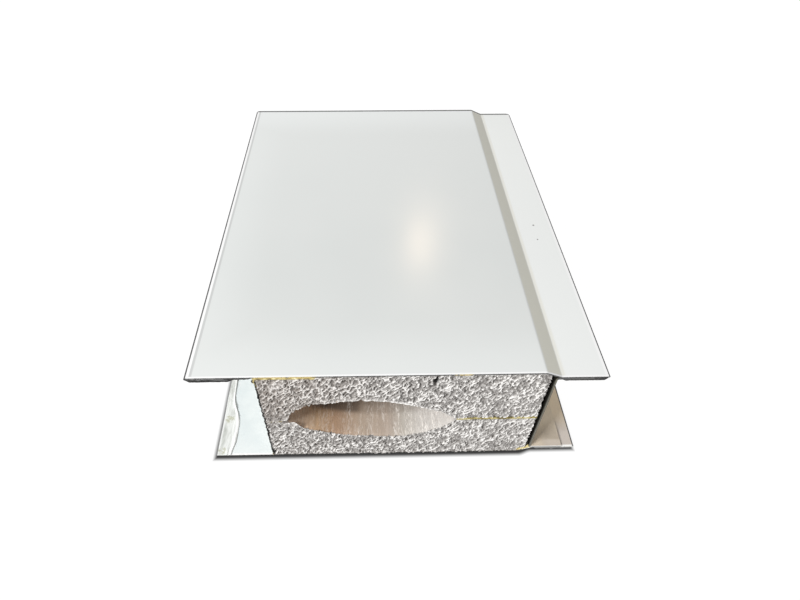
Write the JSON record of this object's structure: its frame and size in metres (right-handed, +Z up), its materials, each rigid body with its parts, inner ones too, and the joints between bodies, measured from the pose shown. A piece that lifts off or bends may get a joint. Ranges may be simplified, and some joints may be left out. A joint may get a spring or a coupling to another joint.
{
  "type": "insulated sandwich panel",
  "caption": "Short cut length of an insulated wall panel: white steel skins on a cellular foam core with a lengthwise duct, one stepped tongue edge and one socket edge.",
  "frame": {"origin": "middle of the underside, on the floor plane", "axes": "+X from the socket edge to the tongue edge, +Y along the panel away from the sawn end, +Z up through the thickness"},
  "size_m": [0.14, 0.18, 0.0516],
  "materials": {
    "white_paint": "gloss",
    "foam": "rough cellular",
    "glue": "satin",
    "channel_steel": "satin",
    "film": "crumpled"
  },
  "bodies": {
    "root": {"top_skin": "white_paint", "bottom_skin": "white_paint", "core_upper": "foam", "core_lower": "foam", "glue_top": "glue", "glue_bottom": "glue", "glue_joint_left": "glue", "glue_joint_right": "glue", "edge_channel": "channel_steel", "film_lap": "film"}
  },
  "joints": []
}
